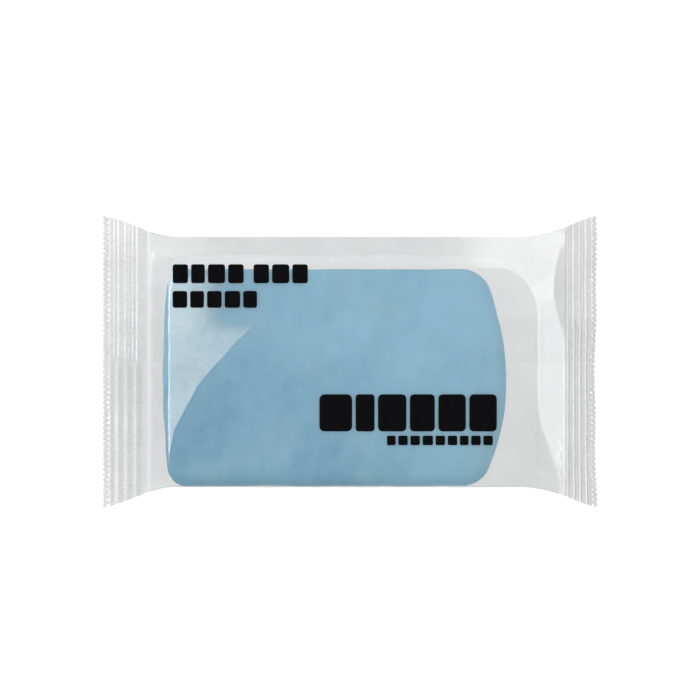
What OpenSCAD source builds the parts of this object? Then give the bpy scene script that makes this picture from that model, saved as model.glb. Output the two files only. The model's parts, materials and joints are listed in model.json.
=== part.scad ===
// Clay bar for car detailing, sealed in a clear flow wrap.
// The pack lies flat on its back: +X runs along the pack, +Y across it, and +Z
// points out of its printed front. The origin is under the middle of the pack.
// One sheet of film makes the whole wrap. It is closed by a fin seal along the
// back and by a crimped seal at each end, and its nodes part at those seals.

/* [Film wrap] */
// Length from one cut edge to the other
pack_l = 115.6; // [112:0.2:120]
// Height of the filled sleeve
pack_h = 15.5; // [15.4:0.1:18]
// Width of the filled sleeve between its side folds
sleeve_w = 58.8; // [58.4:0.2:62]
// Width of the flattened sleeve at its cut edges
flat_w = 68.4; // [66:0.2:72]
// Thickness of one ply of film
film_t = 0.12; // [0.1:0.01:0.14]

/* [End seals] */
// Length of the crimped seal, from its root to its cut edge
seal_l = 10.8; // [9:0.2:12]
// Distance between two crimp ribs
rib_pitch = 2.16; // [1.8:0.02:2.6]
// Height of a crimp rib from trough to crest
rib_h = 0.5; // [0.3:0.05:0.6]
// Height of the left seal's root above the table
left_root_z = 7.0; // [6:0.2:9]
// Height of the right seal's root above the table
right_root_z = 8.6; // [8.4:0.2:9.6]
// Droop of the right seal below level
right_droop = 46.8; // [0:0.2:48]
// Width of one tooth along a cut edge
tooth_w = 1.2; // [1.1:0.1:2]
// Depth of one tooth
tooth_d = 0.4; // [0.3:0.1:0.6]

/* [Fin seal] */
// Width of the fin that lies folded on the back
fin_w = 10; // [8:0.5:12]

/* [Clay bar] */
// Length of the bar
bar_l = 80; // [76:0.5:80]
// Width of the bar
bar_w = 50.6; // [48:0.2:50.8]
// Thickness of the bar
bar_h = 14.6; // [13:0.1:14.6]
// Rounding of the bar's upper and lower edges
bar_edge_r = 3; // [2.4:0.1:4]
// Rounding of the bar's corners seen from above
bar_corner_r = 4; // [3:0.5:6]
// Radius that bows the bar's right end
bar_right_bow = 58; // [50:1:90]
// Radius that bows the bar's left end
bar_left_bow = 260; // [150:10:400]

/* [Print] */
// Thickness of the printed ink
ink_t = 0.05; // [0.04:0.01:0.08]
// Height of a block in the title's upper line
title_h = 4.4; // [4:0.1:4.6]
// Height of a block in the title's lower line
subtitle_h = 3.9; // [3.4:0.1:4.4]
// Height of a block in the large mark
mark_h = 8.6; // [7:0.1:9]
// Height of a block in the small line under the mark
caption_h = 2.2; // [1.8:0.1:2.4]

/* [Hidden] */

// Seal roots: each end seal hinges on a line across the pack at its root.
left_root_x = -pack_l / 2 + seal_l;
right_root_x = pack_l / 2 - seal_l * cos(right_droop)
             - (wave(seal_l) + film_t) * sin(right_droop);
hinge_gap = 0.4;   // free length between the sleeve's end and the seal's root
slit_h = 0.9;      // opening of the sleeve at its ends

// Sleeve: where its walls rise, lean and round over.
left_shoulder = 5.4;
right_shoulder = 6.6;
shoulder_power = 2.2;
flare_l = 17;      // length over which the folds spread towards a cut edge
flare_power = 1.5;
near_in = 0.15;    // how far the near wall leans in at its top
far_lean = 5.2;    // how far the far wall leans in at its top
near_top_r = 3.0;
far_top_r = 2.0;
foot_r = 1.4;
arc_steps = 6;
fin_clear = 0.25;  // distance past the fin at which the back comes down from it
fin_step = 1.1;    // distance past the fin at which the back lies level again

// Clay bar: it has slid to the near left, and rests on the back of the sleeve.
bar_side_gap = 0.25;
bar_y0 = -sleeve_w / 2 + film_t + bar_side_gap;
bar_x0 = left_root_x + 3.4;
bar_z0 = 3 * film_t + 0.19;

// Film colours
film_colour = [0.86, 0.87, 0.88, 0.6];
seal_colour = [0.80, 0.81, 0.82, 0.8];
fin_colour = [0.76, 0.77, 0.78, 0.8];
ink_colour = [0.05, 0.05, 0.05];

// ---- Shape of the sleeve --------------------------------------------------

// Rise of the film from a slit at the roots, 0, to the full height, 1
function climb(t) = t >= 1 ? 1 : 1 - pow(1 - max(t, 0), shoulder_power);
function rise(x) = climb((x - sleeve_x0) / left_shoulder)
                 * climb((sleeve_x1 - x) / right_shoulder);

// Height of the seals' middle plane, which runs level between the two roots
function slit_z(x) = left_root_z + (right_root_z - left_root_z)
                   * (x - left_root_x) / (right_root_x - left_root_x);
function top_z(x) = slit_z(x) + slit_h / 2 + (pack_h - slit_z(x) - slit_h / 2) * rise(x);
function base_z(x) = (slit_z(x) - slit_h / 2) * (1 - rise(x));

// Half of the width between the side folds
function fold_y(x) = let (d = pack_l / 2 - abs(x))
    sleeve_w / 2 + (flat_w - sleeve_w) / 2 * pow(max(0, 1 - d / flare_l), flare_power);

// Direction square to the back of the sleeve, pointing inwards
function base_normal(x) = let (e = 0.01)
    unit([-(base_z(x + e) - base_z(x - e)) / (2 * e), 0, 1]);
function base_point(x, y, lift) = [x, y, base_z(x)] + lift * base_normal(x);

function unit(v) = v / norm(v);

// Points of the round that joins the lines from c to p and from c to n
function fillet(p, c, n, r, steps) =
    let (u = unit(p - c), w = unit(n - c), half = acos(u * w) / 2,
         o = c + unit(u + w) * r / sin(half),
         s = c + u * r / tan(half) - o, f = c + w * r / tan(half) - o,
         a = atan2(s[1], s[0]), raw = atan2(f[1], f[0]) - a,
         sweep = raw > 180 ? raw - 360 : raw < -180 ? raw + 360 : raw)
    [for (i = [0:steps]) o + r * [cos(a + sweep * i / steps), sin(a + sweep * i / steps)]];

// Outline of the sleeve above its back, from the near foot over the top to the far foot
function over_top(x) =
    let (w = fold_y(x), lo = base_z(x), hi = top_z(x), tall = hi - lo, k = rise(x),
         foot = min(foot_r, 0.4 * tall), most = 0.42 * tall,
         a = [-w, lo], b = [-w + near_in * k, hi], c = [w - far_lean * k, hi], d = [w, lo])
    concat(fillet([0, lo], a, b, foot, arc_steps),
           fillet(a, b, c, min(near_top_r, most), arc_steps),
           fillet(b, c, d, min(far_top_r, most), arc_steps),
           fillet(c, d, [0, lo], foot, arc_steps));

// The back's far half passes over the folded fin, so it is lifted there by two plies.
function back_near(x) = [base_point(x, 0, 0), base_point(x, -sleeve_w / 4, 0)];
function back_far(x) = [base_point(x, sleeve_w / 3, 0), base_point(x, fin_w + fin_step, 0),
                        base_point(x, fin_w + fin_clear, 2 * film_t), base_point(x, 0, 2 * film_t)];
function section(x) = concat(back_near(x), [for (p = over_top(x)) [x, p[0], p[1]]], back_far(x));

near_count = 2;
front_count = 4 * (arc_steps + 1);
far_count = 4;
near_last = near_count;
far_first = near_count + front_count - 1;
section_last = near_count + front_count + far_count - 1;

// Stations along the pack, close together where the film climbs from a seal
sleeve_x0 = left_root_x + hinge_gap;
sleeve_x1 = right_root_x - hinge_gap;
stations = concat(
    [for (i = [0:9]) sleeve_x0 + left_shoulder * pow(i / 9, 1.3)],
    [for (i = [1:5]) sleeve_x0 + left_shoulder
        + (sleeve_x1 - sleeve_x0 - left_shoulder - right_shoulder) * i / 5],
    [for (i = [1:10]) sleeve_x1 - right_shoulder * pow(1 - i / 10, 1.3)]);
station_last = len(stations) - 1;

// Grid point g[i][j] moved by t along the direction square to the sheet there
function grid_normal(g, i, j) =
    let (i1 = min(i + 1, len(g) - 1), i0 = max(i - 1, 0),
         j1 = min(j + 1, len(g[0]) - 1), j0 = max(j - 1, 0))
    unit(cross(g[i][j1] - g[i][j0], g[i1][j] - g[i0][j]));

// Closed sheet between two grids of the same size: upper lies on the side that the normals
// point to. Every face is a triangle.
module sheet(lower, upper) {
    rows = len(lower);
    cols = len(lower[0]);
    size = rows * cols;
    points = concat([for (r = lower) for (p = r) p], [for (r = upper) for (p = r) p]);
    low = [for (i = [0:rows - 2]) for (j = [0:cols - 2])
        let (a = i * cols + j, b = a + 1, c = a + cols, d = c + 1) each [[a, b, d], [a, d, c]]];
    high = [for (f = low) [f[0] + size, f[2] + size, f[1] + size]];
    rim = concat([for (j = [0:cols - 1]) j], [for (i = [1:rows - 1]) i * cols + cols - 1],
                 [for (j = [cols - 2:-1:0]) (rows - 1) * cols + j], [for (i = [rows - 2:-1:1]) i * cols]);
    n = len(rim);
    edge = [for (k = [0:n - 1]) let (a = rim[k], b = rim[(k + 1) % n])
        each [[a, a + size, b + size], [a, b + size, b]]];
    polyhedron(points, concat(low, high, edge));
}

function columns(g, first, last) = [for (r = g) [for (j = [first:last]) r[j]]];

// The whole sleeve, outside and inside
sleeve_out = [for (x = stations) section(x)];
sleeve_in = [for (i = [0:station_last]) [for (j = [0:section_last])
    sleeve_out[i][j] + film_t * grid_normal(sleeve_out, i, j)]];

module sleeve_part(first, last) {
    sheet(columns(sleeve_out, first, last), columns(sleeve_in, first, last));
}

// ---- Sleeve ---------------------------------------------------------------

module film_front_panel() {
    color(film_colour) sleeve_part(near_last, far_first);
}

module film_back_panel_near() {
    color(film_colour) sleeve_part(0, near_last);
}

module film_back_panel_far() {
    color(film_colour) sleeve_part(far_first, section_last);
}

// ---- Fin seal: the sheet's two long edges, sealed face to face and folded flat ----

module fin_ply(lift) {
    function grid(up) = [for (x = stations) [for (y = [fin_w, fin_w / 2, 0]) base_point(x, y, up)]];
    color(fin_colour) sheet(grid(lift), grid(lift + film_t));
}

module fin_seal_outer_ply() {
    fin_ply(0);
}

module fin_seal_inner_ply() {
    fin_ply(film_t);
}

// ---- End seals ------------------------------------------------------------

// Height of the crimp's wave at s along the seal; it fades in after the smooth root
function wave(s) = let (t = min(1, max(0, (s - 0.5) / 1.2)))
    rib_h / 2 * t * t * (3 - 2 * t) * sin(360 * s / rib_pitch);
wave_steps = 8;
wave_s = [for (i = [0:ceil(seal_l / rib_pitch * wave_steps)]) min(seal_l + 1, i * rib_pitch / wave_steps)];

// Crimped ply between two heights from the seal's middle plane, starting at s = from
module crimped(low, high, from) {
    line = [for (s = wave_s) if (s >= from) s];
    rotate([90, 0, 0])
        linear_extrude(flat_w, center = true)
            polygon(concat([for (s = line) [s, wave(s) + high]],
                           [for (i = [len(line) - 1:-1:0]) [line[i], wave(line[i]) + low]]));
}

// Outline of a seal laid flat: its root, its spreading folds and its toothed cut edge
module seal_outline(root_w) {
    teeth = floor(flat_w / tooth_w);
    pitch = flat_w / teeth;
    linear_extrude(4, center = true)
        polygon(concat([[0, root_w / 2], [0, -root_w / 2]],
            [for (i = [0:teeth]) each [[seal_l, -flat_w / 2 + i * pitch],
                if (i < teeth) [seal_l - tooth_d, -flat_w / 2 + (i + 0.5) * pitch]]]));
}

module seal_ply(root_w, low, high) {
    intersection() {
        crimped(low, high, 0);
        seal_outline(root_w);
    }
}

// The end of the fin, caught in the crimp behind the back ply
module fin_tail() {
    intersection() {
        crimped(-3 * film_t, -film_t, 3 * rib_pitch / wave_steps);
        translate([0, 0, -2]) cube([seal_l - tooth_d - 0.1, fin_w, 4]);
    }
}

// Sets a seal at its root: the left one is turned to face -X, the right one droops.
module at_left() {
    translate([left_root_x, 0, left_root_z]) mirror([1, 0, 0]) children();
}

module at_right() {
    translate([right_root_x, 0, right_root_z]) rotate([0, right_droop, 0]) children();
}

left_root_w = 2 * fold_y(left_root_x);
right_root_w = 2 * fold_y(right_root_x);

module left_seal_front_ply() {
    color(seal_colour) at_left() seal_ply(left_root_w, 0, film_t);
}

module left_seal_back_ply() {
    color(seal_colour) at_left() seal_ply(left_root_w, -film_t, 0);
}

module left_seal_fin_tail() {
    color(fin_colour) at_left() fin_tail();
}

module right_seal_front_ply() {
    color(seal_colour) at_right() seal_ply(right_root_w, 0, film_t);
}

module right_seal_back_ply() {
    color(seal_colour) at_right() seal_ply(right_root_w, -film_t, 0);
}

module right_seal_fin_tail() {
    color(fin_colour) at_right() fin_tail();
}

// ---- Clay bar -------------------------------------------------------------

// The bar seen from above, taken in by inset all round: straight sides, bowed ends
module bar_plan(inset) {
    r = bar_corner_r - inset;
    offset(r = r, $fn = 48)
        offset(delta = -bar_corner_r)
            intersection() {
                translate([0, -bar_w / 2]) square([bar_l, bar_w]);
                translate([bar_l - bar_right_bow, 0]) circle(bar_right_bow, $fn = 180);
                translate([bar_left_bow, 0]) circle(bar_left_bow, $fn = 720);
            }
}

module clay_bar() {
    color([0.52, 0.70, 0.79])
        translate([bar_x0, bar_y0 + bar_w / 2, bar_z0])
            hull()
                for (a = [0:18:90]) {
                    inset = bar_edge_r * (1 - sin(a));
                    drop = bar_edge_r * (1 - cos(a));
                    translate([0, 0, drop]) linear_extrude(bar_h - 2 * drop) bar_plan(inset);
                }
}

// ---- Print ----------------------------------------------------------------

// A row of plain blocks that stands for a line of print, from x, with its foot at y
module block_row(x, y, h, widths, gap) {
    function start(i) = i == 0 ? 0 : start(i - 1) + widths[i - 1] + gap;
    for (i = [0:len(widths) - 1])
        translate([x + start(i), y, pack_h]) cube([widths[i], h, ink_t]);
}

module title_print() {
    color(ink_colour) {
        block_row(-41.2, 18.2, title_h, [3.6, 3.2, 4.0, 3.6], 0.7);
        block_row(-22.4, 18.2, title_h, [3.6, 4.0, 3.6], 0.7);
    }
}

module subtitle_print() {
    color(ink_colour) block_row(-41.2, 12.5, subtitle_h, [3.4, 3.2, 3.4, 3.6, 3.2], 0.7);
}

module mark_print() {
    color(ink_colour) block_row(-7.1, -16.2, mark_h, [7.6, 4.4, 6.6, 5.8, 6.4, 6.4], 0.8);
}

module caption_print() {
    color(ink_colour)
        block_row(8.6, -19.4, caption_h, [2.0, 2.2, 2.2, 2.4, 2.2, 2.2, 2.0, 2.2, 2.2], 0.62);
}

clay_bar();
film_front_panel();
film_back_panel_near();
film_back_panel_far();
fin_seal_inner_ply();
fin_seal_outer_ply();
left_seal_front_ply();
left_seal_back_ply();
left_seal_fin_tail();
right_seal_front_ply();
right_seal_back_ply();
right_seal_fin_tail();
title_print();
subtitle_print();
mark_print();
caption_print();
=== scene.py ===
import json
import math

import bpy
import numpy as np
from bpy.props import FloatProperty, FloatVectorProperty, IntProperty, PointerProperty
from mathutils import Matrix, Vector


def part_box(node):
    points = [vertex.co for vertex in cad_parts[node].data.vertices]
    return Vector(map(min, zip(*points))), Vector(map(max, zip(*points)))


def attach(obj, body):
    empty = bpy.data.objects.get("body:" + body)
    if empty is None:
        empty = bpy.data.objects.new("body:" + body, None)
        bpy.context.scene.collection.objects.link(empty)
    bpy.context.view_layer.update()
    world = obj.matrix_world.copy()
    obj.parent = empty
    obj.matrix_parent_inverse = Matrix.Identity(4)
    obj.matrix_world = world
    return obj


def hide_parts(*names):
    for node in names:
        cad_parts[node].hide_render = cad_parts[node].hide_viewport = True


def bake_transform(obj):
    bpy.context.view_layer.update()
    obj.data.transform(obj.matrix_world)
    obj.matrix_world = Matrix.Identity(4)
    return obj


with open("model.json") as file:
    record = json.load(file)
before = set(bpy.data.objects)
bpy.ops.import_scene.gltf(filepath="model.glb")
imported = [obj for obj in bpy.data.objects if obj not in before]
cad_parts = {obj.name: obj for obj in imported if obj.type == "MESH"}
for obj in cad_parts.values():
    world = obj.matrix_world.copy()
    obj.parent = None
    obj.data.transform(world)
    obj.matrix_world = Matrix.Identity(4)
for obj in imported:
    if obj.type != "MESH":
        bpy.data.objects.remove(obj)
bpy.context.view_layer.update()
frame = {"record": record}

bl_info = {
    "name": "Flow-wrapped clay bar",
    "version": (1, 0, 0),
    "blender": (4, 5, 0),
    "location": "3D View > Sidebar > Clay pack",
    "description": "Builds the film, print and clay of a flow-wrapped detailing clay bar round its CAD frame",
    "category": "Object",
}

MM = 0.001
JOINTS = {j["name"]: j for j in frame["record"]["behaviour"]["joints"]}


def in_mm(metres):
    """A length or point of the frame, in millimetres."""
    return np.array(metres, float) / MM


def box_mm(node):
    """A CAD node's lowest and highest corners, in millimetres."""
    low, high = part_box(node)
    return in_mm(low), in_mm(high)


# Places that the frame gives, in millimetres
LEFT_ROOT = in_mm(JOINTS["left_seal_fold"]["pos_m"])
RIGHT_ROOT = in_mm(JOINTS["right_seal_fold"]["pos_m"])
SEAL_BOX = box_mm("left_seal_front_ply")
CLAY_BOX = box_mm("clay_bar")
FRONT_BOX = box_mm("film_front_panel")
PRINT_BOX = {line: box_mm(line + "_print") for line in ("title", "subtitle", "mark", "caption")}
FIN_BOX = box_mm("fin_seal_outer_ply")

PACK_HALF = -SEAL_BOX[0][0]
FLAT_HALF = SEAL_BOX[1][1]
PLATEAU_Z = FRONT_BOX[1][2]
SEAL_L = LEFT_ROOT[0] - SEAL_BOX[0][0]
FIN_W = FIN_BOX[1][1]


# ---- Settings ----


def length(label, description, millimetres):
    """A setting that is a length, with its default in millimetres."""
    return FloatProperty(
        name=label, description=description, default=millimetres * MM, min=0, unit="LENGTH"
    )


def colour(label, description, tint):
    """A setting that is a colour."""
    return FloatVectorProperty(
        name=label, description=description, default=tint, min=0, max=1, size=3, subtype="COLOR"
    )


def factor(label, description, share):
    """A setting between 0 and 1."""
    return FloatProperty(
        name=label, description=description, default=share, min=0, max=1, subtype="FACTOR"
    )


class FilmSettings(bpy.types.PropertyGroup):
    """The sheet of film: its wall and the shape that it takes round the clay."""

    thickness: length("Thickness", "Thickness of one ply", 0.12)
    sleeve_width: length("Sleeve width", "Width of the filled sleeve", 58.8)
    far_lean: length("Far lean", "How far the far wall leans in at its top", 5.2)
    slack: length("Slack", "Height of the soft swells where no clay holds the film", 0.10)
    pucker: length("Pucker", "Height of the pleats that run out of the end seals", 0.13)
    tint: colour("Film colour", "Tint of the clear film", (0.15, 0.15, 0.15))
    haze_tint: colour("Haze colour", "Tint where the film stands off the clay", (0.50, 0.60, 0.63))
    opacity: factor("Opacity", "Opacity of one face of the film", 0.128)


class SealSettings(bpy.types.PropertyGroup):
    """The crimped end seals."""

    rib_pitch: length("Rib pitch", "Distance between two ribs", 2.16)
    rib_height: length("Rib height", "Height of a rib from trough to crest", 0.5)
    tooth_width: length("Tooth width", "Width of a tooth of the cut edge", 1.2)
    tooth_depth: length("Tooth depth", "Depth of a tooth of the cut edge", 0.28)
    knurl_width: length("Knurl width", "Width of the knurled strip at the cut edge", 1.8)
    tint: colour("Crimp colour", "Tint of the crimped film", (0.08, 0.08, 0.08))
    right_droop: FloatProperty(
        name="Right droop", description="Fall of the right seal below level", default=math.radians(46.8),
        subtype="ANGLE",
    )
    opacity: factor("Opacity", "Opacity of one face of the crimped film", 0.205)


class ClaySettings(bpy.types.PropertyGroup):
    """The block of clay."""

    edge_radius: length("Edge radius", "Rounding of the upper and lower edges", 3.0)
    corner_radius: length("Corner radius", "Rounding of the corners seen from above", 4.0)
    right_bow: length("Right bow", "Radius that bows the right end", 58)
    left_bow: length("Left bow", "Radius that bows the left end", 260)
    tint: colour("Clay colour", "Main colour of the clay", (0.205, 0.442, 0.600))
    shade_tint: colour("Clay shade", "Colour of the clay's darker patches", (0.070, 0.265, 0.405))


class PrintSettings(bpy.types.PropertyGroup):
    """The printed blocks."""

    thickness: length("Ink thickness", "Thickness of the ink", 0.04)
    tint: colour("Ink colour", "Colour of the ink", (0.002, 0.002, 0.0025))


class StageSettings(bpy.types.PropertyGroup):
    """Floor, lights and camera."""

    view_width: length("View width", "Width of the camera's view at the pack", 163.1)
    lens: FloatProperty(name="Lens", description="Focal length", default=300, unit="CAMERA")
    seed: IntProperty(name="Seed", description="Seed of the film's soft swells", default=7)


def settings(name):
    """The scene's settings of one group."""
    return getattr(bpy.context.scene, "clay_pack_" + name)


def mm(group, name):
    """A length of the settings, in millimetres."""
    return getattr(settings(group), name) / MM


# ---- Meshes ----


def new_object(name, points, faces, smooth=True):
    """A mesh object at the origin, from points in millimetres and rows of corner numbers, with its faces
    turned outwards: the volume that they close, a sum of the corners' triple products, is made positive."""
    faces = [np.asarray(f, np.int64) for f in faces]
    volume = 0.0
    for group in faces:
        corner = points[group]
        for k in range(1, group.shape[1] - 1):
            cross = np.cross(corner[:, k], corner[:, k + 1])
            volume += np.einsum("ij,ij->i", corner[:, 0], cross).sum()
    if volume < 0:
        faces = [group[:, ::-1] for group in faces]
    loops = np.concatenate([group.ravel() for group in faces])
    counts = np.concatenate([np.full(len(group), group.shape[1]) for group in faces])
    mesh = bpy.data.meshes.new(name)
    mesh.vertices.add(len(points))
    mesh.vertices.foreach_set("co", (points * MM).astype(np.float32).ravel())
    mesh.loops.add(len(loops))
    mesh.loops.foreach_set("vertex_index", loops.astype(np.int32))
    mesh.polygons.add(len(counts))
    starts = np.concatenate([[0], np.cumsum(counts)[:-1]])
    mesh.polygons.foreach_set("loop_start", starts.astype(np.int32))
    mesh.polygons.foreach_set("use_smooth", np.broadcast_to(smooth, len(counts)).copy())
    mesh.update(calc_edges=True)
    mesh.validate()
    made = bpy.data.objects.new(name, mesh)
    bpy.context.collection.objects.link(made)
    return made


def keep_on_points(piece, name, values):
    """Keeps one number for each point of a piece, as an attribute."""
    data = piece.data.attributes.new(name, "FLOAT", "POINT").data
    data.foreach_set("value", values.astype(np.float32).ravel())


def grid_faces(rows, columns, wrap=False):
    """Quads of a grid of points stored row by row; with wrap, the last column joins the first."""
    number = np.arange(rows * columns).reshape(rows, columns)
    if wrap:
        number = np.hstack([number, number[:, :1]])
    quads = [number[:-1, :-1], number[:-1, 1:], number[1:, 1:], number[1:, :-1]]
    return np.stack([q.ravel() for q in quads], axis=1)


def grid_normals(grid):
    """Unit normals of a grid of points: the cross product of its two gradients."""
    normal = np.cross(np.gradient(grid, axis=1), np.gradient(grid, axis=0))
    return normal / np.maximum(np.linalg.norm(normal, axis=2, keepdims=True), 1e-12)


def sheet_faces(rows, columns):
    """Faces of a closed sheet whose two grids of points are stored one after the other: the first grid, the
    second one turned over, and a rim that joins their borders."""
    size = rows * columns
    number = np.arange(size).reshape(rows, columns)
    rim = np.concatenate([number[0], number[1:, -1], number[-1, -2::-1], number[-2:0:-1, 0]])
    after = np.roll(rim, -1)
    top = grid_faces(rows, columns)
    sides = np.stack([after, rim, rim + size, after + size], axis=1)
    return np.concatenate([top, top[:, ::-1] + size, sides])


def shell(name, upper, lower, fields=None):
    """A closed sheet between two grids of the same size, with a flat-shaded rim. fields are named arrays over
    the grid, kept as attributes of the points of both faces."""
    rows, columns = upper.shape[:2]
    points = np.concatenate([upper.reshape(-1, 3), lower.reshape(-1, 3)])
    faces = sheet_faces(rows, columns)
    made = new_object(name, points, [faces], np.arange(len(faces)) < 2 * (rows - 1) * (columns - 1))
    for key, values in (fields or {}).items():
        keep_on_points(made, key, np.concatenate([values.ravel(), values.ravel()]))
    return made


def taper(reach, length):
    """Share of the film's thickness at reach from a seal's root: 0.1 there, and 1 from length on."""
    return 0.1 + 0.9 * np.clip(reach / length, 0, 1)


def film_shell(name, outer, up, fields=None, wall=None):
    """A sheet of film whose outer face is the grid: the inner face lies one wall inside it along its normals.
    The wall thins towards the end seals. up is 1 where the outer face looks up, -1 where it looks down."""
    rows, columns = outer.shape[:2]
    normals = grid_normals(outer)
    out = up * np.sign(normals[rows // 2, columns // 2, 2])
    reach = np.minimum(outer[..., :1] - LEFT_ROOT[0], RIGHT_ROOT[0] - outer[..., :1])
    wall = wall or mm("film", "thickness")
    return shell(name, outer, outer - out * wall * taper(reach, SLEEVE_TAPER_L) * normals, fields)


def finish_piece(piece, nodes, slot, material, body=None):
    """Gives a piece its material and body and hides its CAD nodes; its slot decides only its shadow. Clear
    film casts no shadow, nor does its ink.
    """
    piece.data.materials.append(material)
    piece.visible_shadow = slot == "clay"
    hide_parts(*nodes)
    if body:
        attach(piece, body)
    return piece


# ---- Curves and noise ----


def smooth_step(low, high, x):
    """0 below low, 1 above high, and 3t^2 - 2t^3 between them."""
    t = np.clip((x - low) / (high - low), 0, 1)
    return t * t * (3 - 2 * t)


def ramp(x, start, soft):
    """0 before start and x - start after it, joined by a parabola over a length of soft on either side."""
    u = np.clip(x - start + soft, 0, 2 * soft)
    return u * u / (4 * soft) + np.maximum(x - start - soft, 0)


def hump(x, centre, width):
    """A bell curve: e to the minus square of the distance from centre over width."""
    return np.exp(-(((x - centre) / width) ** 2))


def arch(x, centre, half):
    """An arch: 1 minus the square of the distance from centre over half, and 0 past its feet."""
    return np.clip(1 - ((x - centre) / half) ** 2, 0, 1)


def triangle(turns):
    """A triangle wave: 0 at whole turns, and 1 halfway between them."""
    return 2 * np.abs(turns - np.floor(turns + 0.5))


def swells(x, y, count, shortest, longest, seed):
    """Soft noise between about -1 and 1: a sum of sine waves whose lengths, directions and phases are drawn
    at random."""
    draw = np.random.default_rng(seed)
    total = np.zeros(np.broadcast(x, y).shape)
    for _ in range(count):
        length = shortest * (longest / shortest) ** draw.random()
        angle, phase = draw.random(2) * 2 * math.pi
        total = total + np.sin((x * math.cos(angle) + y * math.sin(angle)) * 2 * math.pi / length + phase)
    return total / math.sqrt(count)


def bend(a, corner, b, steps):
    """Points of the parabola from a to b that leans towards corner: (1-t)^2 a + 2t(1-t) corner + t^2 b."""
    t = np.linspace(0, 1, steps)
    return [(1 - t) ** 2 * p + 2 * t * (1 - t) * q + t**2 * r for p, q, r in zip(a, corner, b)]


def line(a, b, steps):
    """Points inside the straight line from a to b, without its ends."""
    t = np.linspace(0, 1, steps + 2)[1:-1]
    return [(1 - t) * p + t * q for p, q in zip(a, b)]


# ---- Shape of the film ----

# All in millimetres
SLEEVE_ROWS = 210
BACK_COLUMNS = 60
SLEEVE_TAPER_L = 0.4  # length over which the sleeve's wall thins towards a seal's root
FLARE_L = 17.0  # length over which the side folds spread towards a cut edge
FOOT_R, NEAR_TOP_R, FAR_TOP_R = 0.3, 3.0, 2.0  # roundings of the section's corners
NEAR_IN = 0.15  # how far the near wall leans in at its top
LEFT_RISE, RIGHT_RISE = 41.9, 43.9  # where the back leaves the table
LEFT_ROOT_REACH = -LEFT_ROOT[0] - 0.5  # where the left facets meet the seal's level
BACK_SOFT = 0.8  # softness of the back's creases
CORNER_R = 5.0  # rounding of the plateau's far right corner
FAR_BAND_Y = 21.7  # where the far band begins
KINK_Y, KINK_HALF = -21, 4.2  # middle and half length of the kink
STREAK_X, STREAK_Y, STREAK_SLANT = 44.7, -25.8, 0.72

# Folds along the front: place across the pack, start and end along it, rise, and slant
FOLDS = (
    (23.0, -39, -17, 0.26, 0.03),
    (24.4, -33, -12, 0.18, -0.035),
    (22.9, 12, 29, 0.20, 0.02),
    (25.0, -2, 22, 0.12, -0.03),
    (24.0, 27, 40, 0.15, -0.16),
)

# Painted glints, lens-shaped highlights over the clay's far edge: place along the pack and across it, half
# length, and strength
GLINTS = ((-24.0, 23.6, 13.0, 0.28), (18.5, 23.9, 5.0, 0.16))


def fold_half(x):
    """Half of the width between the side folds: the filled width, plus a share that grows as the 1.5th power
    of the nearness to a cut edge."""
    filled = mm("film", "sleeve_width") / 2
    nearness = np.clip(1 - (PACK_HALF - np.abs(x)) / FLARE_L, 0, 1)
    return filled + (FLAT_HALF - filled) * nearness**1.5


def middle_z(x):
    """Height of the plane in which the end seals' roots lie: a straight line between the two roots."""
    share = (x - LEFT_ROOT[0]) / (RIGHT_ROOT[0] - LEFT_ROOT[0])
    return LEFT_ROOT[2] + (RIGHT_ROOT[2] - LEFT_ROOT[2]) * share


def right_creases(y):
    """X of the two creases at the right end: where the front leaves its plateau, and where it meets the plane
    of the drooping seal. The first runs out to the near corner, and the second bows in round the far side."""
    plateau = 43.6 + 6.0 * smooth_step(-8, -34, y) - 4.5 * smooth_step(11, 25, y)
    plane = RIGHT_ROOT[0] - 0.35 - 2.7 * hump(y, 17.5, 9.0)
    return np.minimum(plateau, plane - 1.3), plane


def left_creases(y):
    """The same at the left end, as distances from the middle: one steep face down to a level seal."""
    plateau = 42.3 - 1.6 * smooth_step(12, 27, y) - 1.0 * smooth_step(-20, -31, y)
    return plateau, np.full(np.shape(y), LEFT_ROOT_REACH)


def end_fall(reach, creases, root, slope, softness):
    """How far the front has come down from its plateau, at a distance reach from the pack's middle: straight
    from the first crease to the second, and then along the seal's own slope to the root. Each crease is
    rounded by a parabola."""
    first, second = creases
    meet_z = root[2] + mm("film", "thickness") + (abs(root[0]) - second) * slope
    face = (PLATEAU_Z - meet_z) / (second - first)
    return face * ramp(reach, first, softness[0]) + (slope - face) * ramp(reach, second, softness[1])


def front_level(x, y):
    """Height of the front over (x, y) if it had no side walls."""
    slope = math.tan(settings("seal").right_droop)
    right = end_fall(x, right_creases(y), RIGHT_ROOT, slope, (0.5, 0.35))
    left = end_fall(-x, left_creases(y), LEFT_ROOT, 0.0, (0.45, 0.5))
    return PLATEAU_Z - np.maximum(right, 0) - np.maximum(left, 0)


def back_level(x):
    """Height of the back: flat on the table, and straight up to the seals' roots at both ends."""
    wall = mm("film", "thickness")
    right = (RIGHT_ROOT[2] - wall) / (RIGHT_ROOT[0] - RIGHT_RISE)
    left = (LEFT_ROOT[2] - wall) / (LEFT_ROOT_REACH - LEFT_RISE)
    up_left = left * (ramp(-x, LEFT_RISE, BACK_SOFT) - ramp(-x, LEFT_ROOT_REACH, 0.5))
    return right * ramp(x, RIGHT_RISE, BACK_SOFT) + up_left


def settle(x, y, z):
    """Brings a point of the filled section to its height at x: what is above the roots' plane shrinks towards
    it with the front's level, and what is below it with the back's."""
    middle = middle_z(x)
    above = (front_level(x, y) - middle) / (PLATEAU_Z - middle)
    below = (middle - back_level(x)) / middle
    return middle + (z - middle) * np.where(z > middle, above, below)


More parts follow.
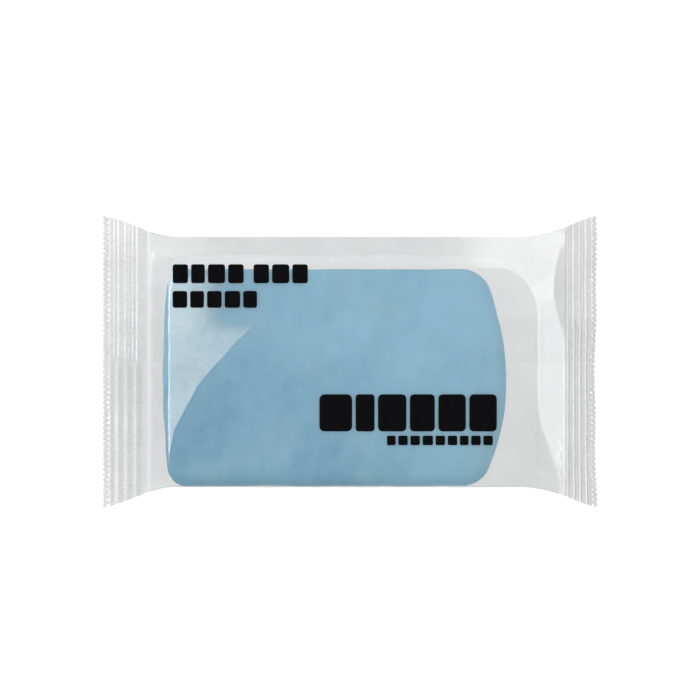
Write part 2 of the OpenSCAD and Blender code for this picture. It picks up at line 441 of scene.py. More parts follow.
def over_clay(x, y):
    """1 where the clay holds the film from below, falling to 0 about 3 mm past the bar's outline."""
    low, high = CLAY_BOX
    across = smooth_step(low[1] - 2, low[1] + 1, y) * (1 - smooth_step(high[1] - 2, high[1] + 2, y))
    right = high[0] - (y - (low[1] + high[1]) / 2) ** 2 / (2 * mm("clay", "right_bow"))
    along = smooth_step(low[0], low[0] + 3, x) * (1 - smooth_step(right - 2, right + 2.5, x))
    return across * along


def kink_x(y):
    """X of the short wriggling kink on the right end's facet, a sum of two sines about a slanted line."""
    return 48.7 - 0.09 * (y - KINK_Y) + 0.5 * np.sin(1.5 * y) + 0.2 * np.sin(3.7 * y + 1)


def streak(x, y, width, length):
    """1 on a short slanted streak at the plateau's near right corner, falling off as a bell curve across it
    and along it."""
    return hump((y - STREAK_Y) + STREAK_SLANT * (x - STREAK_X), 0, width) * hump(x, STREAK_X, length)


def front_ripple(x, y):
    """How far the front stands out of its smooth shape: soft swells where no clay holds it, pleats that die
    away from the seals, folds along the far edge, and a kink and a streak at the right end."""
    seed = settings("stage").seed
    slack, pucker = mm("film", "slack"), mm("film", "pucker")
    free = 1 - 0.88 * over_clay(x, y)
    ripple = slack * free * swells(x, y, 14, 7, 24, seed)
    ripple += 0.16 * slack * swells(x, y, 12, 2.2, 5, seed + 1)
    pleats = swells(0.25 * x, y, 12, 2.6, 8, seed + 2)
    ripple += pucker * pleats * np.exp(-np.maximum(x - LEFT_ROOT[0], 0) / 3.2)
    ripple += pucker * pleats * np.exp(-np.maximum(RIGHT_ROOT[0] - x, 0) / 3.5)
    for place, start, end, rise, slant in FOLDS:
        middle = (start + end) / 2
        ripple += rise * arch(x, middle, (end - start) / 2) * hump(y, place + slant * (x - middle), 0.75)
    ripple += 0.32 * arch(y, KINK_Y, KINK_HALF) * hump(x, kink_x(y), 0.4)
    ripple += 0.22 * streak(x, y, 0.8, 2.8)
    root_fade = smooth_step(0.0, 1.2, x - LEFT_ROOT[0]) * smooth_step(0.0, 1.2, RIGHT_ROOT[0] - x)
    return ripple * root_fade


def front_section(x):
    """Y and Z of the filled front section, from the near foot over the top to the far foot, with a parabola
    at each corner. x is a column of stations."""
    width = fold_half(x)
    top = PLATEAU_Z
    lean = mm("film", "far_lean") + 4.5 * np.clip((x - 28) / 16, 0, 1) ** 2.5
    lean = lean + 3.0 * np.clip((-32 - x) / 13, 0, 1) ** 2
    down = np.hypot(lean, top)
    step_y, step_z = lean / down, -top / down
    flat = np.zeros_like(x)
    near, far = -width, width - lean
    near_foot = (near, flat + FOOT_R)
    near_side = (near + NEAR_IN, flat + top - NEAR_TOP_R)
    near_top = (near + NEAR_IN + NEAR_TOP_R, flat + top)
    far_top = (far - FAR_TOP_R, flat + top)
    far_side = (far + FAR_TOP_R * step_y, top + FAR_TOP_R * step_z)
    far_foot = (width - FOOT_R * step_y, -FOOT_R * step_z)
    parts = [
        bend((near + FOOT_R, flat), (near, flat), near_foot, 7),
        line(near_foot, near_side, 12),
        bend(near_side, (near + NEAR_IN, flat + top), near_top, 12),
        line(near_top, far_top, 118),
        bend(far_top, (far, flat + top), far_side, 12),
        line(far_side, far_foot, 12),
        bend(far_foot, (width, flat), (width - FOOT_R, flat), 7),
    ]
    return np.hstack([part[0] for part in parts]), np.hstack([part[1] for part in parts])


def stations():
    """X of the rows along the sleeve, from root to root: a sine of evenly spaced angles, so that they lie
    twice as close at the ends as in the middle."""
    angle = 1.05
    share = np.sin(np.linspace(-1, 1, SLEEVE_ROWS) * angle) / math.sin(angle)
    middle, half = (LEFT_ROOT[0] + RIGHT_ROOT[0]) / 2, (RIGHT_ROOT[0] - LEFT_ROOT[0]) / 2
    return (middle + half * share)[:, None]


# ---- Look of the film over its front ----


def haze_edge(x, y):
    """Distance in millimetres inside the edge of the patch where the film stands off the clay. The edge is a
    power curve from the bar's near left corner, with a slight wobble."""
    rise = np.clip((y + 25) / 32.5, 0, 1.6)
    edge = -42.3 + 19.0 * rise**1.9 - 5.0 * smooth_step(7, 17, y)
    wobble = 0.16 * np.sin(0.55 * y + 1.0) + 0.06 * np.sin(1.3 * y)
    left = x - (CLAY_BOX[0][0] + 1.4)
    return np.minimum((edge + wobble - x) * 0.8, left) + 0.15


def haze_and_painted_glare(x, y):
    """How strong that patch is: full along the bar's left end, fading towards its far right and towards the
    clay's far edge, with a painted glare, a highlight, added on its upper left."""
    fade = 1 - 0.95 * smooth_step(5.5, 10, y) * smooth_step(-35.5, -28, x)
    fade = fade * (1 - 0.85 * smooth_step(18.5, 22.5, y))
    # Painted glare: a highlight added to the patch's strength on its upper left.
    glare = 0.55 * hump(x, -39.6, 2.6) * hump(y, 10.5, 5.5)
    return fade * (0.90 + 0.14 * smooth_step(4, -12, y) + 0.05 * swells(x, y, 10, 8, 24, 31)) + glare


def seal_plane(x, y):
    """1 on the part of the front that lies in the drooping seal's plane, and 0 elsewhere and where that part
    is too narrow to show."""
    second = right_creases(y)[1]
    return smooth_step(-0.15, 0.25, x - second) * smooth_step(0.5, 1.5, RIGHT_ROOT[0] - second)


def painted_facet_reflection(x, y):
    """Painted reflection, from 0 to 1: 1 on the sloping facet of the right end and on the far band next to
    it, which are whitened as if they reflected a light, half as much on the far band at the left end, and 0
    elsewhere. The plateau's edge is a rectangle's corner with a round."""
    right, far = x - right_creases(y)[0] + CORNER_R, y - FAR_BAND_Y + CORNER_R
    out = np.minimum(np.maximum(right, far), 0) - CORNER_R
    out = out + np.hypot(np.maximum(right, 0), np.maximum(far, 0))
    # Painted reflection: the right facet and the far bands are whitened as if they reflected a light.
    white = smooth_step(-0.15, 0.25, out) * smooth_step(20, 34, x)
    white += 0.45 * smooth_step(-30, -38, x) * smooth_step(22.5, 25, y)
    return white * (1 - seal_plane(x, y))


def painted_front_highlights(x, y):
    """Painted highlights on the front, from 0 to 1: bell curves across its creases, a band where the film
    bends down over the clay's left end, and two lens-shaped glints over the clay's far edge."""
    # Painted highlights along the right crease, along the kink and along the film's bend over the clay's left
    # end.
    white = 0.2 * hump(x, right_creases(y)[1], 0.3)
    white += 0.8 * hump(x, kink_x(y), 0.16) * arch(y, KINK_Y, KINK_HALF)
    along = smooth_step(-27.5, -25, y) * (1 - smooth_step(8, 14, y))
    end = CLAY_BOX[0][0]
    white += 0.16 * smooth_step(end - 0.1, end + 0.3, x) * (1 - smooth_step(end + 0.8, end + 1.2, x)) * along
    white = white * smooth_step(-29, -26, y)
    # Painted glints: lens-shaped highlights over the clay's far edge.
    for middle, place, half, strength in GLINTS:
        lens = arch(x, middle, half)
        white += strength * lens * hump(y, place - 0.02 * (x - middle), 0.25 + 0.8 * lens)
    return white


def painted_film_shade(x, y):
    """Painted shade, from 0 to 1, laid on as a denser grey veil: it deepens on the plateau towards the near
    right corner, and the streak there breaks it."""
    # Painted shade: a denser veil towards the plateau's near right corner.
    deep = smooth_step(22, 44, x) * smooth_step(8, -26, y)
    return deep * (1 - painted_facet_reflection(x, y)) * (1 - 0.4 * streak(x, y, 0.9, 2.6))


# ---- Sleeve and fin ----


def back_grid(x, y, lift):
    """A grid over (x, y) at the back's level, raised by lift along its normals."""
    x, y = np.broadcast_arrays(x, y)
    grid = np.stack([x, y, back_level(x)], axis=2)
    normals = grid_normals(grid)
    return grid + normals * np.sign(normals[..., 2:3]) * lift[:, :, None]


def make_sleeve(film_material):
    """Front panel and both halves of the back. The front is the filled section carried along the pack,
    settled to its height at each station and pushed out by the ripple. The back's far half steps over the
    fin."""
    x = stations()
    y, z = front_section(x)
    grid = np.stack([np.broadcast_to(x, y.shape), y, settle(x, y, z)], axis=2)
    normals = grid_normals(grid)
    lifted = smooth_step(0.25, 0.8, (z - middle_z(x)) / (PLATEAU_Z - middle_z(x)))
    out = np.sign(normals[normals.shape[0] // 2, normals.shape[1] // 2, 2])
    grid = grid + out * normals * (front_ripple(x, y) * lifted)[:, :, None]
    # Painted light on the front: the whitening along its creases and over the clay's far edge is painted
    # highlight, the whitening of the right facet is a painted reflection, the denser veil towards the near
    # right is painted shade, and the haze's strength holds a painted glare.
    fields = {
        "haze_edge": haze_edge(x, y) * lifted,
        "haze_and_painted_glare": haze_and_painted_glare(x, y) * lifted,
        "painted_front_highlights": painted_front_highlights(x, y) * lifted,
        "painted_film_shade": painted_film_shade(x, y) * lifted,
        # Painted shade: the part of the front in the drooping seal's plane takes the crimped film's darker,
        # denser veil.
        "crimped": RIGHT_VEIL * seal_plane(x, y),
        "painted_facet_reflection": painted_facet_reflection(x, y),
    }
    front = film_shell("film_front", grid, 1, fields)
    finish_piece(front, ["film_front_panel"], "film", film_material, "wrapper")

    for name, node, side, step in (
        ("film_back_near", "film_back_panel_near", -1.0, 0.0),
        ("film_back_far", "film_back_panel_far", 1.0, 2 * mm("film", "thickness")),
    ):
        t = np.linspace(0, 1, BACK_COLUMNS)[None, :]
        y = side * (fold_half(x) - FOOT_R) * t
        over_fin = step * (1 - smooth_step(FIN_W + 0.15, FIN_W + 1.2, np.abs(y)))
        sag = 0.05 * (1 + swells(x, y, 12, 6, 22, settings("stage").seed + 5)) * (1 - smooth_step(0.85, 1, t))
        sag = np.maximum(sag, 0) * smooth_step(0, 3, np.abs(y))
        piece = film_shell(name, back_grid(x, y, over_fin + sag), -1)
        finish_piece(piece, [node], "film", film_material, "wrapper")


def make_fin(material):
    """The fin, both of its plies sealed into one strip flat on the back, with fine lengthwise ribs: the size
    of a sine across it."""
    y = np.linspace(0.0, FIN_W, BACK_COLUMNS)[None, :]
    ribs = 0.018 * np.abs(np.sin(y * math.pi / 0.9)) * smooth_step(0.8, 1.6, y)
    grid = back_grid(stations(), y, 0.015 + ribs)
    piece = film_shell("fin_seal", grid, -1, wall=2 * mm("film", "thickness") - 0.05)
    finish_piece(piece, ["fin_seal_outer_ply", "fin_seal_inner_ply"], "crimped_film", material, "wrapper")


# ---- End seals ----

SEAL_ROWS, PLY_COLUMNS, TAIL_COLUMNS = 84, 460, 90
RIB_ROUND = 0.96  # 1 makes the ribs' wave a sharp triangle
PLY_GAP = 0.01  # half of the gap between the front and back plies
TAPER_L = 0.25  # length over which a ply thins towards its root
BEND_L = 2.2  # length past the root at which a point of the seal is worked out; that point is not used
KNURL_L = 1.9  # distance between two of the knurl's zigzag lines
RIGHT_VEIL = 0.85  # how crimped the right seal's film looks; the left one's is set along it

# Skew of the ribs' wave, where the far part fades in, depth of the ribs and what the far part takes off it,
# depth of the finer ribs there, height of the knurl and strength of its painted highlights, and seed
CRIMP = {
    "left": (0.10, (-1.5, 1.5), 0.42, 0.22, 0.45, 0.05, 0.8, 11),
    "right": (-0.08, (7, 12), 0.9, 0.6, 0.4, 0.06, 0.95, 12),
}


def in_knurl(s, soft):
    """0 on the ribs and 1 on the knurled strip along the cut edge, fading over soft on either side."""
    start = SEAL_L - mm("seal", "knurl_width")
    return smooth_step(start - soft, start + soft, s)


def knurl_phase(s, y):
    """Phase of the knurl's zigzag lines: it grows along s and swings with the cut edge's teeth."""
    return 2 * math.pi * (s / KNURL_L + 0.5 * triangle(y / mm("seal", "tooth_width")))


def crimp(s, y, side):
    """Height of the crimp over the seal's middle plane, at s from the root. A rounded triangle wave, the
    arcsine of a little less than the sine of the rib's skewed phase, fades in past the root. On the far part
    it is lower, with finer ribs between. The knurl along the cut edge is the cosine of its zigzag phase."""
    skew, fade, depth, drop, fine_depth, knurl_height, _, seed = CRIMP[side]
    pitch, half = mm("seal", "rib_pitch"), mm("seal", "rib_height") / 2
    phase = 2 * math.pi * (s + skew * np.sin(2 * math.pi * s / pitch)) / pitch
    far = smooth_step(*fade, y)
    full = half * np.arcsin(RIB_ROUND * np.sin(phase)) / math.asin(RIB_ROUND)
    fine = half * 0.42 * np.sin(phase * 2.5 + 0.7)
    ribs = full * (depth - drop * far) + fine * far * fine_depth
    ribs = ribs * (1 + 0.18 * swells(0 * s, y, 8, 6, 24, seed))
    knurl = knurl_height * np.cos(knurl_phase(s, y)) + 0.02 * swells(s, y, 10, 0.8, 1.6, 13)
    swap = in_knurl(s, 0.15)
    return smooth_step(0.5, 2.8, s) * (ribs * (1 - swap) + knurl * swap)


def crimp_light(s, y, side):
    """Painted light on the crimp, from 0 to 1: painted highlights and painted shade of its ribs and knurl. On
    the left each rib starts with a painted highlight line and darkens as a power of the way to the next one,
    and the far part has twice as many, fainter ones over a pale ground. On the right thin painted highlight
    lines, bell curves, turn to a soft wave on the far part. The knurl has painted highlights on its high
    spots."""
    # Painted highlights and painted shade of the ribs and the knurl.
    pitch = mm("seal", "rib_pitch")
    if side == "left":
        far = smooth_step(-2.0, 2.0, y)
        near_ribs = 0.42 * (1 - np.mod((s - 0.8) / pitch, 1)) ** 2.2
        far_ribs = 0.2 * (1 - np.mod((s - 0.35) / pitch * 2, 1)) ** 2.2 + 0.22
        lines = near_ribs * (1 - far) + far_ribs * far
        lines = lines * smooth_step(0.2, 2.4, s) + 0.35 * hump(s, 0.15, 0.16)
    else:
        far = smooth_step(5, 13, y)
        near_ribs = 0.8 * hump(np.mod((s - 0.55) / pitch + 0.5, 1) * pitch, pitch / 2, 0.2)
        far_ribs = 0.4 * (0.5 + 0.5 * np.sin(2 * math.pi * s / pitch * 2))
        lines = near_ribs * (1 - 0.6 * far) + far_ribs * far
        lines = lines * smooth_step(0.1, 0.5, s)
    knurl = np.clip(0.1 + 0.7 * np.cos(knurl_phase(s, y)) + 0.25 * swells(s, y, 10, 0.8, 1.6, 14), 0, 1)
    swap = in_knurl(s, 0.1)
    return np.clip(lines * (1 - swap) + CRIMP[side][-2] * knurl * swap, 0, 1)


def curl(s, y, side):
    """Slow bending of the whole seal: two long waves across the pack that grow as the square of s."""
    turn = 1.0 if side == "left" else -1.0
    wave = 0.28 * np.sin(y * 2 * math.pi / 58 + 0.8 * turn) + 0.16 * np.sin(y * 2 * math.pi / 21 + turn)
    return wave * (s / SEAL_L) ** 2


def seal_point(s, y, h, side):
    """X, Y and Z of a point at s along a seal, y across it and h above its middle plane."""
    if side == "left":
        return LEFT_ROOT[0] - s, y, LEFT_ROOT[2] + h
    droop = settings("seal").right_droop
    x = RIGHT_ROOT[0] + s * math.cos(droop) + h * math.sin(droop)
    z = RIGHT_ROOT[2] - s * math.sin(droop) + h * math.cos(droop)
    return x, y, z


def seal_grid(side, columns, low_y, high_y, trim):
    """s and y over a seal. Its half-width grows from the sleeve's to the flat one, drawn in a little at each
    rib, and its last millimetre is drawn back by the teeth, a triangle wave along the cut edge. trim is how
    much shorter than the seal it is."""
    root = LEFT_ROOT if side == "left" else RIGHT_ROOT
    t = np.linspace(0, 1, SEAL_ROWS)[:, None]
    share = np.linspace(low_y, high_y, columns)[None, :]
    half = float(fold_half(root[0]))
    half = half + (FLAT_HALF - half) * (1 - (1 - t) ** 1.25)
    half = half - 0.10 * (0.5 - 0.5 * np.cos(2 * math.pi * t * SEAL_L / mm("seal", "rib_pitch")))
    y = share * half
    tooth = triangle(share * FLAT_HALF / mm("seal", "tooth_width")) * mm("seal", "tooth_depth")
    s = t * (SEAL_L - trim)
    s = s - tooth * smooth_step(SEAL_L - 1.1, SEAL_L, t * SEAL_L)
    return s + 0 * y, y


def make_seal(side, material, tail_material):
    """One end seal: a front and a back ply that share the crimped middle plane, and the fin's tail behind
    them."""
    wall = mm("film", "thickness")
    start, end = ([c * MM for c in seal_point(reach, 0.0, 0.0, side)] for reach in (0.0, BEND_L))
    # Name, columns, ends as shares of the half-width, lowest and highest place over the middle plane, trim at
    # the cut edge and gap at the root
    plies = (
        ("front_ply", PLY_COLUMNS, -1.0, 1.0, PLY_GAP, wall, 0.0, 0.05),
        ("back_ply", PLY_COLUMNS, -1.0, 1.0, -wall, -PLY_GAP, 0.0, 0.05 if side == "left" else 0.18),
        ("fin_tail", TAIL_COLUMNS, 0.0, FIN_W / FLAT_HALF, -3 * wall, -wall - PLY_GAP, 0.5, 0.3),
    )
    for name, columns, low_y, high_y, low, high, trim, root_gap in plies:
        s, y = seal_grid(side, columns, low_y, high_y, trim)
        s = s + root_gap * (1 - s / SEAL_L)
        veil = np.full_like(s, RIGHT_VEIL)
        if side == "left":
            veil = smooth_step(0.1, 2.2, s) * (0.7 - 0.35 * in_knurl(s, 0.2))
        middle = crimp(s, y, side) + curl(s, y, side) + (high + low) / 2
        half = (high - low) * taper(s, TAPER_L) / 2
        upper = np.stack(seal_point(s, y, middle + half, side), axis=2)
        lower = np.stack(seal_point(s, y, middle - half, side), axis=2)
        # The crest field holds the painted highlights and painted shade of the ribs and the knurl.
        fields = {"crest": crimp_light(s, y, side), "crimped": veil}
        piece = shell(f"{side}_seal_{name}", upper, lower, fields)
        use = tail_material if name == "fin_tail" else material
        finish_piece(piece, [f"{side}_seal_{name}"], "crimped_film", use)
        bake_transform(piece)


# ---- Clay ----


def clay_distance(x, y):
    """Distance outside the bar's outline seen from above, negative inside: the larger of the distances past
    its sides and past its bowed ends, with the corners between them rounded."""
    low, high = CLAY_BOX
    centre_y = (low[1] + high[1]) / 2
    corner, right_bow, left_bow = mm("clay", "corner_radius"), mm("clay", "right_bow"), mm("clay", "left_bow")
    across = np.abs(y - centre_y) - (high[1] - low[1]) / 2
    right = np.hypot(x - (high[0] - right_bow), y - centre_y) - right_bow
    left = np.hypot(x - (low[0] + left_bow), y - centre_y) - left_bow
    along = np.maximum(right, left)
    outside = np.hypot(np.maximum(across + corner, 0), np.maximum(along + corner, 0))
    return np.minimum(np.maximum(across, along) + corner, 0) + outside - corner


def clay_outline(angle, inset):
    """Radius from the bar's middle at which the outline, taken in by inset, is met: found by halving the
    range forty times along every ray at once."""
    middle = (CLAY_BOX[0] + CLAY_BOX[1]) / 2
    low, high = np.zeros_like(angle), np.full_like(angle, 60.0)
    for _ in range(40):
        half = (low + high) / 2
        inside = clay_distance(middle[0] + half * np.cos(angle), middle[1] + half * np.sin(angle)) < -inset
        low, high = np.where(inside, half, low), np.where(inside, high, half)
    return (low + high) / 2


def clay_shade(x, y):
    """How dark the clay's colour is, from 0 to 1: it deepens towards the near left corner, along the near
    edge and along the left part of the far edge, and soft cloudy swells break it up."""
    low, high = CLAY_BOX
    left = (high[0] - x) / (high[0] - low[0])
    near = (high[1] - y) / (high[1] - low[1])
    shade = 0.78 * smooth_step(0.2, 1.1, 0.55 * left + 0.62 * near) + 0.22 * smooth_step(0.86, 1.0, near)
    shade += 0.16 * smooth_step(0.22, 0.0, near) * smooth_step(0.15, 0.5, left)
    clouds = swells(x, y, 16, 9, 34, 41) + 0.5 * swells(x, y, 14, 3, 8, 42)
    return np.clip(shade + 0.13 * clouds + 0.02, 0, 1)


def make_clay(material):
    """The block: rings round the bar's outline, from the middle of its top, over the rounded edges to the
    middle of its bottom. Low swells leave it softly uneven."""
    radius = mm("clay", "edge_radius")
    seed = settings("stage").seed
    middle = (CLAY_BOX[0] + CLAY_BOX[1]) / 2
    half_h = (CLAY_BOX[1][2] - CLAY_BOX[0][2]) / 2
    angle = np.linspace(0, 2 * math.pi, 420, endpoint=False)
    inner = clay_outline(angle, radius)
    flats = np.linspace(0.012, 1, 56)[:-1]
    rings, heights = [inner * f for f in flats], [half_h] * len(flats)
    for turn in np.linspace(0, math.pi / 2, 12):
        rings.append(clay_outline(angle, radius * (1 - math.sin(turn))))
        heights.append(half_h - radius * (1 - math.cos(turn)))
    top, top_z = np.array(rings), np.array(heights)
    side_z = np.linspace(top_z[-1], -top_z[-1], 12)[1:-1]
    reach = np.concatenate([top, np.repeat(top[-1:], len(side_z), axis=0), top[::-1]])
    height = np.concatenate([top_z, side_z, -top_z[::-1]])[:, None] + 0 * reach
    x = middle[0] + reach * np.cos(angle)
    y = middle[1] + reach * np.sin(angle)
    inwards = 1 - 0.0022 * (1 + swells(x, y + height, 12, 8, 26, seed + 20)) * smooth_step(10, 24, reach)
    dent = 0.07 * (1 + swells(x, y, 16, 5, 20, seed + 21)) * np.sign(height)
    z = middle[2] + height - dent * np.minimum(np.abs(height) / half_h, 1) ** 4
    x = middle[0] + (x - middle[0]) * inwards
    y = middle[1] + (y - middle[1]) * inwards
    rows, columns = reach.shape
    points = np.stack([x, y, z], axis=2).reshape(-1, 3)
    points = np.vstack([points, points[:columns].mean(axis=0), points[-columns:].mean(axis=0)])
    size = rows * columns
    ring, last = np.arange(columns), size - columns
    after = np.roll(ring, -1)
    upper_cap = np.stack([after, ring, np.full(columns, size)], axis=1)
    lower_cap = np.stack([ring + last, after + last, np.full(columns, size + 1)], axis=1)
    quads = grid_faces(rows, columns, wrap=True)
    piece = new_object("clay_block", points, [quads, np.concatenate([upper_cap, lower_cap])])
    keep_on_points(piece, "shade", clay_shade(points[:, 0], points[:, 1]))
    finish_piece(piece, ["clay_bar"], "clay", material, "bar")


# ---- Print ----

# Block widths of each printed line, and the gap between two blocks; 0 is the space between two words
PRINT_ROWS = {
    "title": ((3.6, 3.2, 4.0, 3.6, 0, 3.6, 4.0, 3.6), 0.7),
    "subtitle": ((3.4, 3.2, 3.4, 3.6, 3.2), 0.7),
    "mark": ((7.6, 4.4, 6.6, 5.8, 6.4, 6.4), 0.8),
    "caption": ((2.0, 2.2, 2.2, 2.4, 2.2, 2.2, 2.0, 2.2, 2.2), 0.62),
}
WORD_SPACE = 0.9
INK_LIFT = 0.012  # gap between the film and the ink, so that the two don't share a surface
INK_GRID = 17  # points along each side of a block's grid


def block_row(x, y, height, widths, gap):
    """A row of blocks from x, with its foot at y; each starts one gap after the one before."""
    taken = np.where(np.array(widths) == 0, WORD_SPACE, widths)
    starts = x + np.concatenate([[0], np.cumsum(taken + gap)[:-1]])
    return [(start, y, width, height) for start, width in zip(starts, widths) if width > 0]


def print_blocks(name, node, blocks, material):
    """Rounded blocks of ink draped on the front. Each is a grid of nested squares, drawn in to rectangles
    whose corners are brought back to a radius, and laid one ink thickness above the film."""
    side = np.linspace(-1, 1, INK_GRID)
    u, v = np.meshgrid(side, side, indexing="ij")
    ring = np.maximum(np.maximum(np.abs(u), np.abs(v)), 1e-9)
    points, faces, count = [], [], 0
    for x0, y0, width, height in blocks:
        corner = 0.16 * min(width, height)
        edge_x, edge_y = np.abs(u) / ring * width / 2, np.abs(v) / ring * height / 2
        past_x = np.maximum(edge_x - width / 2 + corner, 0)
        past_y = np.maximum(edge_y - height / 2 + corner, 0)
        pull = 1 - corner / np.maximum(np.hypot(past_x, past_y), corner)
        x = x0 + width / 2 + np.sign(u) * ring * (edge_x - past_x * pull)
        y = y0 + height / 2 + np.sign(v) * ring * (edge_y - past_y * pull)
        z = front_level(x, y) + front_ripple(x, y) + INK_LIFT
        for level in (z + mm("ink", "thickness"), z):
            points.append(np.stack([x, y, level], axis=2).reshape(-1, 3))
        faces.append(sheet_faces(*u.shape) + count)
        count += 2 * u.size
    piece = new_object(name, np.concatenate(points), [np.concatenate(faces)])
    finish_piece(piece, [node], "ink", material, "wrapper")


# ---- Materials ----

# Patches of the clay's colour: size in millimetres, detail and roughness of the noise, the range of it that
# shows, the largest share of the tint, and the tint
CLAY_PATCHES = (
    (11, 3, 0.5, (0.5, 0.75), 0.35, (0.245, 0.395, 0.520)),
    (23, 3, 0.5, (0.48, 0.68), 0.4, (0.165, 0.410, 0.500)),
    (1.6, 4, 0.6, (0.35, 0.65), 0.17, (0.245, 0.430, 0.530)),
)
# White towards which the painted highlights, the facet's painted reflection and the ribs' painted light turn
# the film's colour
PAINTED_HIGHLIGHT_WHITE = (0.94, 0.94, 0.94)
PINHOLE_GREY = (0.10, 0.10, 0.11)
FIN_THINNESS = 0.1  # the fin's veil next to the film's


def drive(tree, node, key, value):
    """Links a node's input to another node's output, or sets it to a number or colour."""
    if isinstance(value, bpy.types.NodeSocket):
        tree.links.new(value, node.inputs[key])
    else:
        node.inputs[key].default_value = value


def add_node(tree, kind, inputs=None, **values):
    """A node of one kind, with its values set and its inputs linked or set."""
    made = tree.nodes.new(kind)
    for key, value in values.items():
        setattr(made, key, value)
    for key, value in (inputs or {}).items():
        drive(tree, made, key, value)
    return made


def new_material(name):
    """A node material with one Principled shader. Returns it, its tree, the shader and the object
    coordinates."""
    made = bpy.data.materials.new(name)
    made.use_nodes = True
    tree = made.node_tree
    shader = tree.nodes["Principled BSDF"]
    place = add_node(tree, "ShaderNodeTexCoord").outputs["Object"]
    return made, tree, shader, place


def noise(tree, place, millimetres, detail=2.0, roughness=0.5):
    """Noise whose features are about that many millimetres across."""
    inputs = {"Vector": place, "Scale": 1 / (millimetres * MM), "Detail": detail, "Roughness": roughness}
    return add_node(tree, "ShaderNodeTexNoise", inputs).outputs["Fac"]


def remap(tree, value, low, high, to_low, to_high, kind="SMOOTHSTEP"):
    """value, carried from one range to another and held at its ends."""
    inputs = {"Value": value, "From Min": low, "From Max": high, "To Min": to_low, "To Max": to_high}
    return add_node(tree, "ShaderNodeMapRange", inputs, interpolation_type=kind).outputs["Result"]


def maths(tree, operation, a, b):
    """One step of arithmetic."""
    return add_node(tree, "ShaderNodeMath", {0: a, 1: b}, operation=operation).outputs[0]


def times(tree, a, b):
    """a times b."""
    return maths(tree, "MULTIPLY", a, b)


def plus(tree, a, b):
    """a plus b."""
    return maths(tree, "ADD", a, b)


def mix_colour(tree, share, a, b):
    """Colour a, turning to b as share goes from 0 to 1."""
    a, b = (c if isinstance(c, bpy.types.NodeSocket) else (*c, 1) for c in (a, b))
    return add_node(tree, "ShaderNodeMix", {0: share, 6: a, 7: b}, data_type="RGBA").outputs[2]


def attribute(tree, name):
    """A number kept on the mesh's points."""
    return add_node(tree, "ShaderNodeAttribute", attribute_name=name).outputs["Fac"]


def bump(tree, height, strength, distance):
    """A normal turned by the slope of height."""
    inputs = {"Height": height, "Strength": strength, "Distance": distance * MM}
    return add_node(tree, "ShaderNodeBump", inputs).outputs["Normal"]


def clay_material():
    """Putty: a matte blue with soft darker, greyer and greener patches, a fine grain and a faint sheen."""
    clay = settings("clay")
    made, tree, shader, place = new_material("clay_putty")
    colour = mix_colour(tree, attribute(tree, "shade"), clay.tint, clay.shade_tint)
    for size, detail, roughness, (low, high), most, tint in CLAY_PATCHES:
        share = remap(tree, noise(tree, place, size, detail, roughness), low, high, 0.0, most)
        colour = mix_colour(tree, share, colour, tint)
    drive(tree, shader, "Base Color", colour)
    grain = noise(tree, place, 0.45, 6, 0.65)
    drive(tree, shader, "Roughness", remap(tree, grain, 0.3, 0.7, 0.54, 0.64))
    drive(tree, shader, "Normal", bump(tree, grain, 0.2, 0.06))
    drive(tree, shader, "Specular IOR Level", 0.35)
    return made


def film_material(name="clear_film", thinness=1.0):
    """Clear glossy film: a thin grey veil, denser where it is crimped and there ribbed with painted
    highlights and painted shade, milky where it stands off the clay, with painted highlights along its
    creases, a painted reflection on the sloping facet and painted shade as a denser veil towards the
    plateau's near right corner.
    thinness scales the veil."""
    film, seal = settings("film"), settings("seal")
    made, tree, shader, place = new_material(name)
    crimped, crest = attribute(tree, "crimped"), attribute(tree, "crest")
    facet, crease = attribute(tree, "painted_facet_reflection"), attribute(tree, "painted_front_highlights")
    # Painted shade towards the plateau's near right corner.
    shade = attribute(tree, "painted_film_shade")
    streaks = remap(tree, noise(tree, place, 1.6, 6, 0.75), 0.25, 0.75, 0.84, 1.14)
    haze = remap(tree, attribute(tree, "haze_edge"), 0.0, 0.25, 0.0, 1.0)
    # The haze's strength includes a painted glare, a highlight, on its upper left.
    haze = times(tree, times(tree, haze, attribute(tree, "haze_and_painted_glare")), streaks)
    cloud = remap(tree, noise(tree, place, 9, 3, 0.6), 0.3, 0.7, 0.94, 1.06)

    # On the front, the crimped look past the right crease is painted shade.
    colour = mix_colour(tree, crimped, film.tint, seal.tint)
    colour = mix_colour(tree, haze, colour, film.haze_tint)
    # Painted light: the facet's painted reflection, the front's painted highlights and the ribs' painted
    # light turn the colour towards white.
    white = plus(tree, times(tree, facet, 0.6), plus(tree, crease, crest))
    colour = mix_colour(tree, white, colour, PAINTED_HIGHLIGHT_WHITE)
    drive(tree, shader, "Base Color", colour)

    veil = remap(tree, crimped, 0.0, 1.0, film.opacity * thinness, seal.opacity * thinness, "LINEAR")
    veil = times(tree, veil, cloud)
    # The painted highlights, the painted reflection and the painted shade also thicken the veil.
    for share, strength in ((haze, 0.27), (crease, 0.22), (facet, 0.09), (crest, 0.10), (shade, 0.065)):
        veil = plus(tree, veil, times(tree, share, strength))
    facing = add_node(tree, "ShaderNodeLayerWeight", {"Blend": 0.5}).outputs["Facing"]
    gloss = times(tree, maths(tree, "POWER", facing, 5.0), 0.5)
    drive(tree, shader, "Alpha", plus(tree, veil, gloss))

    scuff = remap(tree, noise(tree, place, 0.7, 5, 0.7), 0.3, 0.75, 0.10, 0.22)
    rough = plus(tree, scuff, times(tree, crimped, 0.16))
    drive(tree, shader, "Roughness", rough)
    drive(tree, shader, "Normal", bump(tree, noise(tree, place, 3.2, 4), 0.22, 0.12))
    drive(tree, shader, "IOR", 2.5)
    return made


